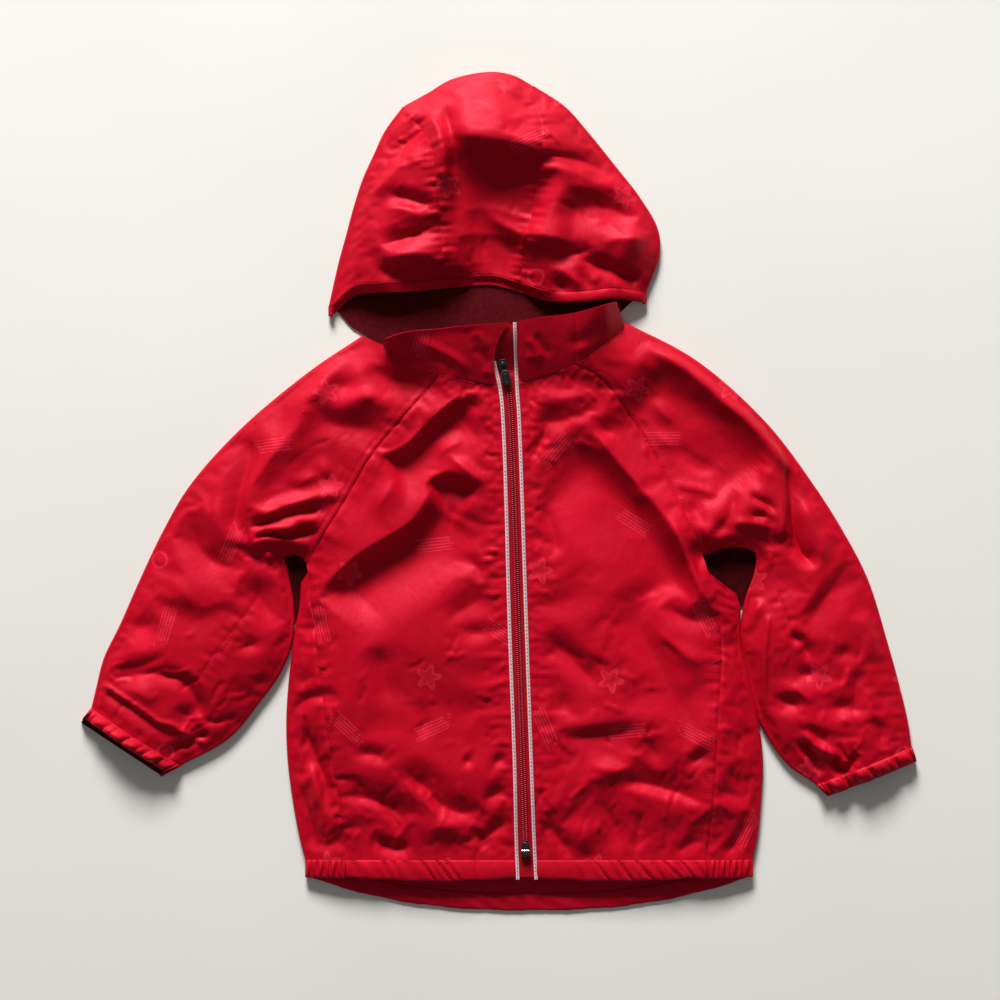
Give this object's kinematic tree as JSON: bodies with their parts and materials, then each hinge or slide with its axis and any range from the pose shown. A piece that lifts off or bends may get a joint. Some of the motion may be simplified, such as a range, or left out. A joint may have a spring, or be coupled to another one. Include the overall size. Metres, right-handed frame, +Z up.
{
  "type": "hooded jacket",
  "caption": "Child's hooded windbreaker with raglan sleeves and a full zip, laid flat on its back with the hood folded forward, elastic cuffs, hem and a dropped back tail.",
  "frame": {"origin": "middle of the box around the jacket, on the plane it lies on", "axes": "+Z up off the surface, +Y from the hem towards the hood, +X towards the wearer's left sleeve"},
  "size_m": [0.6693, 0.6719, 0.0274],
  "materials": {
    "red_nylon": "thin woven nylon, slightly glossy, bright red",
    "red_casing": "the same red nylon, doubled and gathered over elastic",
    "zip_tape": "matt woven zip tape, dark red",
    "zip_coil": "red polyester coil",
    "reflective_piping": "silvery pink reflective tape",
    "zip_metal": "dark pewter zip slider, pull tab and bottom box"
  },
  "bodies": {
    "jacket": {"back": "red_nylon", "front_right": "red_nylon", "front_left": "red_nylon", "sleeve_right": "red_nylon", "sleeve_left": "red_nylon", "sleeve_under_right": "red_nylon", "sleeve_under_left": "red_nylon", "cuff_right": "red_casing", "cuff_left": "red_casing", "hem_front_right": "red_casing", "hem_front_left": "red_casing", "hem_back": "red_casing", "hood_centre": "red_nylon", "hood_side_right": "red_nylon", "hood_side_left": "red_nylon", "hood_band": "red_casing", "chin_right": "red_nylon", "chin_left": "red_nylon", "zip_tape_right": "zip_tape", "zip_tape_left": "zip_tape", "zip_coil": "zip_coil", "zip_piping_right": "reflective_piping", "zip_piping_left": "reflective_piping", "zip_slider": "zip_metal", "zip_box": "zip_metal"},
    "pull": {"zip_pull": "zip_metal"}
  },
  "joints": [
    {"name": "pull_hinge", "type": "hinge", "parent": "jacket", "child": "pull", "pos_m": [0.00309, 0.10147, 0.01815], "axis": [-0.978, -0.2085, 0], "range_deg": [0, 150]}
  ]
}
